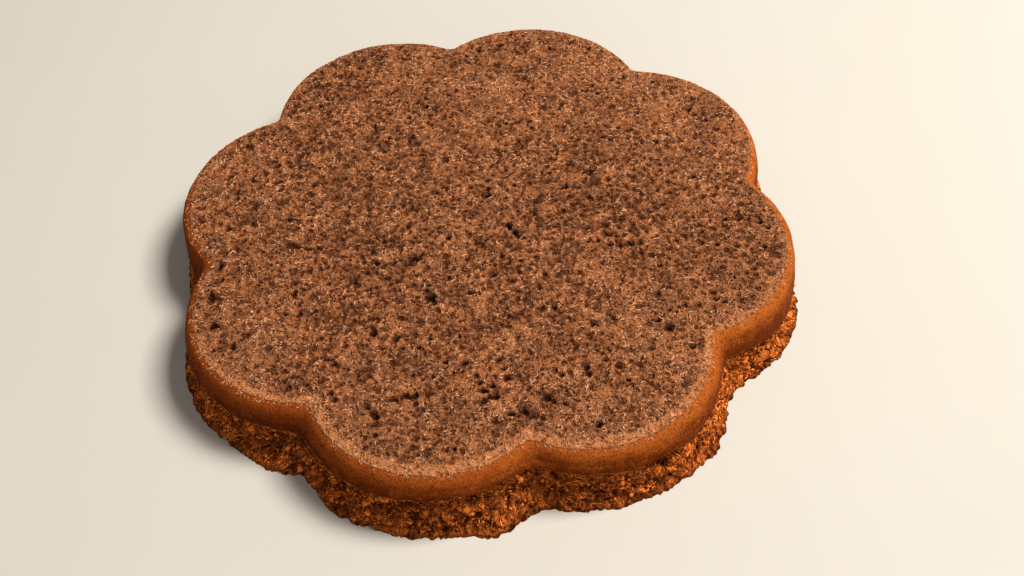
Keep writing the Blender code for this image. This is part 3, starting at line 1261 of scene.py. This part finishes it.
@dataclass
class ClingingCrumbs:
    """Crumbs that cling to the torn side and gather at the foot."""

    seed: int = 41
    small_count: int = 3800
    small_width: Span = (0.5, 1.2)
    large_count: int = 800
    large_width: Span = (1.2, 2.6)
    size_share: Span = (0.6, 1.0)
    gather: float = 0.7
    sunk: float = 0.15
    lowest_middle: float = 0.8
    stretch: Span = (0.6, 1.25)
    roughness: float = 0.32
    lump_spread: float = 0.6
    lump_range: Span = (0.55, 1.5)
    least_height: float = 0.02
    reach_limit: tuple[float, float] = (121.0, 120.4)

    def mesh(self, layer: SpongeLayer) -> bpy.types.Mesh:
        """All the crumbs in one mesh.

        Args:
            layer: The layer that they cling to, already built.

        Returns:
            A mesh of closed, lumpy grains.
        """
        draw = np.random.default_rng(self.seed)
        small = self.grains(layer, draw, self.small_count, self.small_width, 1)
        large = self.grains(layer, draw, self.large_count, self.large_width, 2)
        points = np.concatenate([small[0], large[0]])
        faces = np.concatenate([small[1], large[1] + len(small[0])])
        tone = np.concatenate([small[2], large[2]])
        return write_mesh("clinging_crumbs", points, faces.tolist(), {"tone": tone})

    def grains(
        self, layer: SpongeLayer, draw: np.random.Generator, count: int, width: Span, detail: int
    ) -> tuple[Points, np.ndarray, Scalars]:
        """One size of crumb, set on random points of the torn side.

        Args:
            layer: The layer that they cling to.
            draw: Source of random numbers.
            count: How many crumbs.
            width: Least and greatest width.
            detail: How finely each crumb is made.

        Returns:
            Points, faces and the tone of each point.
        """
        ball, shape = unit_ball(detail)
        last = len(layer.side) - 2
        down = draw.random(count) ** self.gather
        ring = layer.torn_start + (last - layer.torn_start) * down
        seat, normal = layer.on_side(ring, draw.uniform(0, layer.columns, count))
        size = draw.uniform(*width, count) * draw.uniform(*self.size_share, count) / 2
        middle = seat - normal * (size * self.sunk)[:, None]
        middle[:, 2] = np.maximum(middle[:, 2], size * self.lowest_middle)
        stretch = draw.uniform(*self.stretch, (count, 1, 3))
        lump = 1 + self.roughness * draw.normal(0, self.lump_spread, (count, len(ball), 1))
        grown = ball[None] * stretch * np.clip(lump, *self.lump_range) * size[:, None, None]
        points = (middle[:, None] + grown).reshape(-1, 3)
        points[:, 2] = np.maximum(points[:, 2], self.least_height)
        for axis, limit in enumerate(self.reach_limit):
            points[:, axis] = np.clip(points[:, axis], -limit, limit)
        faces = shape[None] + (np.arange(count) * len(ball))[:, None, None]
        tone = np.repeat(draw.uniform(0, 1, count), len(ball))
        return points, faces.reshape(-1, 3), tone


# --- Finishes ---

Value = Union["Signal", float, Colour]


class Signal:
    """A number or colour that travels through a material, with Python's arithmetic on numbers."""

    def __init__(self, tree: "FinishTree", socket: bpy.types.NodeSocket) -> None:
        """Wraps the socket that the value comes out of."""
        self.tree = tree
        self.socket = socket

    def math(self, operation: str, *others: Value) -> "Signal":
        """Result of a Math node on this number and others."""
        values = dict(enumerate((self, *others)))
        return self.tree.out("ShaderNodeMath", {"operation": operation}, values)

    def __add__(self, other: Value) -> "Signal":
        """Sum."""
        return self.math("ADD", other)

    def __sub__(self, other: Value) -> "Signal":
        """Difference."""
        return self.math("SUBTRACT", other)

    def __rsub__(self, other: float) -> "Signal":
        """Difference from a plain number."""
        return self * -1 + other

    def __mul__(self, other: Value) -> "Signal":
        """Product."""
        return self.math("MULTIPLY", other)

    __radd__ = __add__
    __rmul__ = __mul__

    def __abs__(self) -> "Signal":
        """Size without sign."""
        return self.math("ABSOLUTE")

    def at_least(self, other: Value) -> "Signal":
        """The larger of two numbers."""
        return self.math("MAXIMUM", other)

    def step(self, low: float, high: float) -> "Signal":
        """Smooth step, also where high is the smaller.

        Args:
            low: Where it is 0.
            high: Where it is 1.

        Returns:
            The stepped number.
        """
        ends, targets = ((low, high), (0.0, 1.0)) if low < high else ((high, low), (1.0, 0.0))
        values = {"Value": self, "From Min": ends[0], "From Max": ends[1]}
        values |= {"To Min": targets[0], "To Max": targets[1]}
        settings = {"interpolation_type": "SMOOTHSTEP", "clamp": True}
        return self.tree.out("ShaderNodeMapRange", settings, values)

    def near(self, level: float, width: float) -> "Signal":
        """1 where the number is at a level, falling to 0 a width away."""
        return abs(self - level).step(width, width * 0.3)


class FinishTree:
    """A material under construction, with textures measured in millimetres."""

    def __init__(self, name: str) -> None:
        """Starts an empty material with its coordinates in millimetres.

        Args:
            name: Name of the material.
        """
        self.material = bpy.data.materials.new(name)
        self.material.use_nodes = True
        self.material.node_tree.nodes.clear()
        coordinates = self.node("ShaderNodeTexCoord", {}, {})
        scale = {0: coordinates.outputs["Object"], "Scale": 1 / MM}
        self.place = self.out("ShaderNodeVectorMath", {"operation": "SCALE"}, scale)

    def node(self, kind: str, settings: dict[str, Any], values: dict[Any, Any]) -> bpy.types.Node:
        """Adds a node.

        Args:
            kind: The node's type.
            settings: Its settings, which are set first.
            values: Values or links of its sockets, by name or number.

        Returns:
            The new node.
        """
        tree = self.material.node_tree
        made = tree.nodes.new(kind)
        for key, value in settings.items():
            setattr(made, key, value)
        for key, value in values.items():
            socket = made.inputs[key]
            if isinstance(value, Signal):
                tree.links.new(value.socket, socket)
            elif isinstance(value, bpy.types.NodeSocket):
                tree.links.new(value, socket)
            else:
                socket.default_value = value
        return made

    def out(
        self, kind: str, settings: dict[str, Any], values: dict[Any, Any], output: Any = 0
    ) -> Signal:
        """Adds a node and wraps one of its outputs."""
        return Signal(self, self.node(kind, settings, values).outputs[output])

    def mask(self, name: str) -> Signal:
        """Number that the mesh holds for each point."""
        return self.out("ShaderNodeAttribute", {"attribute_name": name}, {}, "Fac")

    def noise(
        self, size: float, detail: float = 2.0, rough: float = 0.5, place: Signal | None = None
    ) -> Signal:
        """Noise from 0 to 1 with features of about a size in millimetres."""
        values = {"Vector": place or self.place, "Scale": 1 / size, "Detail": detail, "Roughness": rough}
        return self.out("ShaderNodeTexNoise", {"noise_dimensions": "3D"}, values, "Fac")

    def cells(self, size: float, place: Signal, output: str) -> Signal:
        """One output of foam cells a size in millimetres apart."""
        settings = {"feature": "F1", "voronoi_dimensions": "3D"}
        return self.out("ShaderNodeTexVoronoi", settings, {"Vector": place, "Scale": 1 / size}, output)

    def vector(self, operation: str, values: dict[Any, Any]) -> Signal:
        """Result of a Vector Math node."""
        return self.out("ShaderNodeVectorMath", {"operation": operation}, values)

    def warped(self, size: float, amount: float) -> Signal:
        """Coordinates pushed about by noise.

        Args:
            size: About how large the features of the noise are, in millimetres.
            amount: How far it pushes, in millimetres.

        Returns:
            The coordinates in millimetres.
        """
        values = {"Vector": self.place, "Scale": 1 / size, "Detail": 1.0}
        wobble = self.out("ShaderNodeTexNoise", {"noise_dimensions": "3D"}, values, "Color")
        centred = self.vector("SUBTRACT", {0: wobble, 1: (0.5, 0.5, 0.5)})
        push = self.vector("SCALE", {0: centred, "Scale": amount})
        return self.vector("ADD", {0: self.place, 1: push})

    def mix(self, share: Value, first: Value, second: Value) -> Signal:
        """Blend of two colours, all of the first where the share is 0."""
        values = {0: share, 6: opaque(first), 7: opaque(second)}
        return self.out("ShaderNodeMix", {"data_type": "RGBA", "clamp_factor": True}, values, 2)

    def bump(self, height: Signal, depth: float) -> Signal:
        """Normal of a surface with fine relief of a depth in millimetres."""
        return self.out("ShaderNodeBump", {}, {"Height": height, "Distance": depth * MM})

    def finish(self, **values: Any) -> bpy.types.Material:
        """Ends the material with a Principled shader.

        Args:
            **values: The shader's sockets, with _ for each space in their names.

        Returns:
            The material.
        """
        sockets = {key.replace("_", " "): value for key, value in values.items()}
        shader = self.node("ShaderNodeBsdfPrincipled", {}, sockets)
        self.node("ShaderNodeOutputMaterial", {}, {"Surface": shader.outputs[0]})
        return self.material


def opaque(value: Value) -> Any:
    """A plain colour with alpha added, or a link as it is."""
    return (*value, 1.0) if isinstance(value, tuple) else value


@dataclass(frozen=True)
class Patches:
    """Patches of one colour over another: noise starts them at one level and fills them at another."""

    size: float
    levels: Span
    share: float
    colour: Colour

    def over(self, tree: FinishTree, below: Value) -> Signal:
        """Lays the patches over a colour.

        Args:
            tree: The material to draw them in.
            below: The colour below.

        Returns:
            The patched colour.
        """
        mask = tree.noise(self.size).step(*self.levels) * self.share
        return tree.mix(mask, below, self.colour)


class OpenCrumb:
    """The pattern of open crumb: ridges of cell wall, gaps between them, and grain."""

    def __init__(self, tree: FinishTree) -> None:
        """Draws the pattern in a material.

        Args:
            tree: The material.
        """
        loose = tree.warped(size=2.0, amount=2.2)
        coarse_ridges = tree.noise(size=1.8, detail=1.5, place=loose).near(0.5, 0.07)
        fine_ridges = tree.noise(size=1.1, detail=1.0, place=loose).near(0.46, 0.07)
        broken = tree.noise(size=1.5, detail=1.0).step(0.44, 0.56)
        self.ridges = (coarse_ridges * broken).at_least(fine_ridges * (1 - broken))
        coarse_gaps = self.gap_cells(tree, loose, size=2.0, core=(0.60, 0.25), luck=(0.50, 0.56))
        fine_gaps = self.gap_cells(tree, loose, size=1.05, core=(0.55, 0.25), luck=(0.54, 0.62))
        self.gaps = coarse_gaps.at_least(fine_gaps) * (1 - self.ridges * 0.6)
        self.grain = tree.noise(size=1.1, detail=3.0, rough=0.7)

    @staticmethod
    def gap_cells(tree: FinishTree, place: Signal, size: float, core: Span, luck: Span) -> Signal:
        """The middles of some of the cells of a foam.

        Args:
            tree: The material to draw them in.
            place: The coordinates to use.
            size: Spacing of the cells in millimetres.
            core: How far from a cell's middle its gap begins and is full, as shares of the size.
            luck: What a cell has to draw for the gap to begin and to be full.

        Returns:
            1 in the gaps and 0 between them.
        """
        middle = tree.cells(size, place, "Distance").step(*core)
        return middle * tree.cells(size, place, "Color").step(*luck)


@dataclass(frozen=True)
class BakedSponge:
    """Finish of the layer: cut crumb, shoulder, crust and torn crumb, told apart by descent."""

    crumb_mid: Colour = (0.320, 0.106, 0.039)
    crumb_warm: Colour = (0.365, 0.120, 0.038)
    crumb_grey: Colour = (0.190, 0.066, 0.029)
    # Pale tan painted highlight on the ridges of cell wall.
    ridge_highlight: Colour = (0.640, 0.300, 0.138)
    # Painted shade in the pores and gaps of the crumb.
    gap_shade: Colour = (0.052, 0.011, 0.005)
    # Painted shade in the air holes and dips of the face and the hollows of the torn side.
    hole_shade_colour: Colour = (0.030, 0.006, 0.003)
    shoulder_pink: Colour = (0.460, 0.158, 0.056)
    # The crust as lit, painted at the top of the band on the lit side.
    crust_lit: Colour = (0.330, 0.080, 0.012)
    crust_mid: Colour = (0.178, 0.032, 0.004)
    # Deep crust: its own dark flecks, and painted shade towards the band's foot.
    crust_deep: Colour = (0.068, 0.011, 0.002)
    crust_line: Colour = (0.480, 0.165, 0.030)
    # Bright torn crumb: its own grain, and painted highlight on proud lumps and ridges.
    torn_bright: Colour = (0.600, 0.166, 0.034)
    torn_mid: Colour = (0.290, 0.059, 0.011)
    # Painted shade in the gaps of the torn crumb.
    torn_gap_shade: Colour = (0.055, 0.009, 0.003)
    # Where each look begins and is full, along the masks that the mesh holds.
    crusty_from: Span = (0.36, 0.60)
    blush_from: Span = (0.80, 1.10)
    # Painted light at the top of the band and painted shade towards its foot, by descent.
    lit_until: Span = (2.5, 1.5)
    crust_shade_from: Span = (1.8, 2.7)
    pale_line_at: float = 3.06
    pale_line_width: float = 0.16
    ragged_from: Span = (3.02, 3.3)
    # How strongly the painted shade of the holes counts, the sheen and the fine relief.
    hole_shade: float = 0.94
    crumb_roughness: float = 0.95
    crust_sheen: float = 0.35
    relief_depth: float = 0.6

    def material(self) -> bpy.types.Material:
        """Builds the finish.

        Returns:
            The finished material.
        """
        tree = FinishTree("baked sponge")
        crumb = OpenCrumb(tree)
        level = tree.mask("descent")
        wander = tree.noise(size=2.6, detail=3.0, rough=0.6) - 0.5
        descent = level + wander * 0.5
        crusty = (tree.mask("baked") + wander * 0.45).step(*self.crusty_from)
        ragged = (level + wander * 0.2).step(*self.ragged_from)
        blush = tree.mask("blush") * descent.step(*self.blush_from) * (1 - crusty)
        fleck = tree.noise(size=0.8, detail=4, rough=0.75)
        skin = self.skin(tree, level, descent, fleck)
        colour = tree.mix(crusty, self.face(tree, crumb, blush), skin)
        colour = tree.mix(ragged, colour, self.torn(tree, crumb))
        # Painted shade in the air holes and dips of the face and the hollows of the torn side.
        colour = tree.mix(tree.mask("hollow_shade") * self.hole_shade, colour, self.hole_shade_colour)
        bare = (1 - crusty).at_least(ragged)
        relief = crumb.ridges * 0.7 + crumb.grain * 0.8 - crumb.gaps * 1.3
        sheen = crusty * (1 - ragged)
        return tree.finish(
            Base_Color=colour,
            Roughness=self.crumb_roughness - sheen * self.crust_sheen,
            Normal=tree.bump(bare * relief + fleck * 0.35, self.relief_depth),
            Specular_IOR_Level=DULL_SPECULAR,
        )

    def face(self, tree: FinishTree, crumb: OpenCrumb, blush: Signal) -> Signal:
        """Colour of the cut crumb and the open part of the shoulder, with painted highlight on the ridges
        of cell wall and painted shade in the pores and gaps.

        Args:
            tree: The material to draw it in.
            crumb: The pattern of the crumb.
            blush: How much the shoulder's pink shows.

        Returns:
            The colour.
        """
        # Painted shade: the pore colour also darkens small patches and specks of grain.
        colour = self.crumb_grey
        for patches in (
            Patches(size=13, levels=(0.38, 0.62), share=1.0, colour=self.crumb_mid),
            Patches(size=5.0, levels=(0.48, 0.68), share=0.6, colour=self.crumb_warm),
            Patches(size=3.4, levels=(0.48, 0.32), share=0.7, colour=self.gap_shade),
        ):
            colour = patches.over(tree, colour)
        colour = tree.mix(crumb.grain.step(0.50, 0.34) * 0.6, colour, self.gap_shade)
        colour = tree.mix(blush * 0.85, colour, self.shoulder_pink)
        # Painted highlight on the ridges of cell wall.
        colour = tree.mix(crumb.ridges * (0.45 + blush * 0.2), colour, self.ridge_highlight)
        # Painted shade in the gaps between the ridges.
        return tree.mix(crumb.gaps * (0.9 - blush * 0.4), colour, self.gap_shade)

    def skin(self, tree: FinishTree, level: Signal, descent: Signal, fleck: Signal) -> Signal:
        """Colour of the crust: painted light at the top of the band, painted shade towards its foot and
        on one side, dark flecks, and a pale line at its ragged edge.

        Args:
            tree: The material to draw it in.
            level: The descent as the mesh holds it.
            descent: The descent with uneven borders.
            fleck: Noise for the fine flecks.

        Returns:
            The colour.
        """
        # pale is the lit side of the crust: 1 less the painted shade by heading.
        pale = 1 - tree.mask("side_shade") * 0.8
        stray = tree.noise(size=6, detail=4, rough=0.7) * 2.4 - 1.2
        # Painted light: the lit crust at the top of the band, only on the lit side.
        high = (descent + stray).step(*self.lit_until)
        colour = tree.mix(high * pale, self.crust_mid, self.crust_lit)
        # Painted shade: deep crust towards the band's foot, stronger on the shaded side.
        low = descent.step(*self.crust_shade_from) * (1.25 - pale * 0.75)
        blotches = tree.noise(size=4.5, detail=3, rough=0.6).step(0.38, 0.54)
        colour = tree.mix(low * blotches * 0.85, colour, self.crust_deep)
        colour = tree.mix(fleck.step(0.50, 0.38) * 0.7, colour, self.crust_deep)
        # Pale flecks of crust, more of them on the lit side as painted light.
        colour = tree.mix(fleck.step(0.55, 0.68) * pale * 0.45, colour, self.crust_line)
        line = level.near(self.pale_line_at, self.pale_line_width)
        broken = tree.noise(size=3.0).step(0.40, 0.52)
        return tree.mix(line * broken * 0.8, colour, self.crust_line)

    def torn(self, tree: FinishTree, crumb: OpenCrumb) -> Signal:
        """Colour of the torn crumb: its own grain, painted highlight on proud lumps and ridges, and
        painted shade in its gaps.

        Args:
            tree: The material to draw it in.
            crumb: The pattern of the crumb.

        Returns:
            The colour.
        """
        proud = tree.mask("proud")
        colour = tree.mix(crumb.grain.step(0.42, 0.62) * 0.6, self.torn_mid, self.torn_bright)
        # Painted highlight on proud lumps and ridges.
        colour = tree.mix((proud * 0.75).at_least(crumb.ridges * 0.5), colour, self.torn_bright)
        # Painted shade in the gaps, less on proud lumps.
        return tree.mix(crumb.gaps * (0.9 - proud * 0.5), colour, self.torn_gap_shade)


@dataclass(frozen=True)
class LooseCrumb:
    """Finish of shreds and crumbs: one tone a piece, with a fine grain."""

    name: str
    dark: Colour
    light: Colour
    roughness: float = 0.95
    grain_depth: float = 0.15

    def material(self) -> bpy.types.Material:
        """Builds the finish.

        Returns:
            The finished material.
        """
        tree = FinishTree(self.name)
        patch = tree.noise(size=3.6, detail=3, rough=0.6) * 2.4 + tree.noise(size=14) * 1.2 - 1.8
        tone = tree.mask("tone") * 0.9 + tree.noise(size=0.9) * 0.4 + patch - 0.15
        return tree.finish(
            Base_Color=tree.mix(tone.step(0.0, 1.0), self.dark, self.light),
            Roughness=self.roughness,
            Normal=tree.bump(tree.noise(size=0.5), self.grain_depth),
            Specular_IOR_Level=DULL_SPECULAR,
        )


# --- Camera, floor and light ---


@dataclass(frozen=True)
class Softbox:
    """A square area light, with its place as seen from the camera's side, in millimetres."""

    name: str
    place: tuple[float, float, float]
    width: float
    power: float
    colour: Colour


@dataclass
class Studio:
    """A pale floor, soft light from the right and the camera at the photograph's angle."""

    azimuth: float = 14.86
    elevation: float = 49.91
    distance: float = 480.1
    roll: float = -2.71
    lens: float = 44.3
    sensor: float = 36.0
    clip_start: float = 0.01
    aim: tuple[float, float] = (9.5, -11.2)
    tin_middle: tuple[float, float] = PetalOutline.middle
    floor_reach: float = 3.0
    floor_colour: Colour = (0.50, 0.475, 0.435)
    floor_shade: float = 0.97
    floor_patch: float = 60.0
    floor_roughness: float = 0.8
    floor_specular: float = 0.2
    sky_colour: Colour = (1.0, 0.95, 0.88)
    sky_strength: float = 0.22
    softboxes: tuple[Softbox, ...] = (
        Softbox("key", place=(820, 120, 1400), width=560, power=47.0, colour=(1.0, 0.95, 0.87)),
        Softbox("fill", place=(200, -1700, 1000), width=1500, power=6.0, colour=(1.0, 0.96, 0.9)),
    )

    def build(self) -> None:
        """Makes all of it."""
        self.camera()
        self.floor()
        for softbox in self.softboxes:
            self.light(softbox)
        world = bpy.data.worlds.new("sky")
        world.use_nodes = True
        sky = world.node_tree.nodes["Background"]
        sky.inputs["Color"].default_value = (*self.sky_colour, 1)
        sky.inputs["Strength"].default_value = self.sky_strength
        bpy.context.scene.world = world
        bpy.context.scene.view_settings.view_transform = "Standard"

    def turned(self, x: float, y: float, z: float) -> Vector:
        """A place given as seen from the camera's side, in metres in the part's frame."""
        turn = Matrix.Rotation(math.radians(self.azimuth), 3, "Z")
        return (turn @ Vector((x, y, z)) + Vector((*self.tin_middle, 0))) * MM

    def camera(self) -> None:
        """Sets the camera where the photograph's was."""
        data = bpy.data.cameras.new("camera")
        data.sensor_width = self.sensor
        data.lens = self.lens
        data.clip_start = self.clip_start
        made = bpy.data.objects.new("camera", data)
        rise = math.radians(self.elevation)
        back = Vector((0, -math.cos(rise), math.sin(rise))) * self.distance
        place = self.turned(self.aim[0] + back.x, self.aim[1] + back.y, back.z)
        look = self.turned(*self.aim, 0) - place
        roll = Matrix.Rotation(math.radians(self.roll), 4, "Z")
        aimed = look.to_track_quat("-Z", "Y").to_matrix().to_4x4()
        made.matrix_world = Matrix.Translation(place) @ aimed @ roll
        bpy.context.scene.collection.objects.link(made)
        bpy.context.scene.camera = made

    def floor(self) -> None:
        """Lays a pale, faintly uneven floor."""
        tree = FinishTree("pale floor")
        shade = tuple(c * self.floor_shade for c in self.floor_colour)
        colour = tree.mix(tree.noise(self.floor_patch, 3), shade, self.floor_colour)
        finish = tree.finish(
            Base_Color=colour,
            Roughness=self.floor_roughness,
            Specular_IOR_Level=self.floor_specular,
        )
        mesh = bpy.data.meshes.new("floor")
        far = self.floor_reach
        ends = [(-far, -far, 0), (far, -far, 0), (far, far, 0), (-far, far, 0)]
        mesh.from_pydata(ends, [], [(0, 1, 2, 3)])
        show(mesh, finish)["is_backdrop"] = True

    def light(self, softbox: Softbox) -> None:
        """Sets up a light that faces the layer.

        Args:
            softbox: The light.
        """
        data = bpy.data.lights.new(softbox.name, "AREA")
        data.size = softbox.width * MM
        data.energy = softbox.power
        data.color = softbox.colour
        made = bpy.data.objects.new(softbox.name, data)
        made.location = self.turned(*softbox.place)
        made.rotation_mode = "QUATERNION"
        made.rotation_quaternion = (-made.location).to_track_quat("-Z", "Y")
        bpy.context.scene.collection.objects.link(made)


def show(mesh: bpy.types.Mesh, finish: bpy.types.Material) -> bpy.types.Object:
    """Puts a mesh in the scene.

    Args:
        mesh: The mesh.
        finish: The finish of all its faces.

    Returns:
        The new object, named after the mesh.
    """
    mesh.materials.append(finish)
    made = bpy.data.objects.new(mesh.name, mesh)
    bpy.context.scene.collection.objects.link(made)
    return made


def corners(box: Iterable[Vector]) -> list[list[float]]:
    """The two corners of a box as plain numbers."""
    return [list(corner) for corner in box]


def main() -> None:
    """Builds the layer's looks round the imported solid."""
    logging.basicConfig(level=logging.INFO, format="%(name)s: %(message)s")
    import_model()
    packed = corners(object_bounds())
    Studio().build()
    layer = SpongeLayer()
    surface = show(layer.mesh(), BakedSponge().material())
    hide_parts(LAYER_NODE)
    pale = LooseCrumb("wall shreds", dark=(0.200, 0.060, 0.020), light=(0.720, 0.360, 0.180)).material()
    brown = LooseCrumb("torn crumb", dark=(0.120, 0.021, 0.004), light=(0.880, 0.240, 0.040)).material()
    curls = (
        FaceCurls("long_curls", seed=23, count=8600, length=(1.2, 2.4), thickness=(0.16, 0.27), joints=4),
        FaceCurls("short_curls", seed=29, count=13600, length=(0.7, 1.5), thickness=(0.18, 0.32)),
    )
    edge = SideShreds(
        "edge_shreds", seed=31, count=2200, length=(0.8, 1.8), thickness=(0.12, 0.21),
        rings=(0.2, 4.2), lift=(0.0, 0.2),
    )
    torn = SideShreds(
        "torn_shreds", seed=37, count=8500, length=(1.0, 3.2), thickness=(0.17, 0.36),
        rings=(layer.torn_start + 0.5, layer.torn_start + layer.torn_rings - 0.5), lift=(0.0, 1.0),
    )
    pieces = [surface]
    pieces += [show(dressing.mesh(layer), pale) for dressing in (*curls, edge)]
    pieces += [show(dressing.mesh(layer), brown) for dressing in (torn, ClingingCrumbs())]
    for piece in pieces:
        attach(piece, BODY)
        LOG.info("%s rides on %s", piece.name, BODY)
    {"packed": packed, "visual": corners(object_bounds())}


if __name__ == "__main__":
    main()
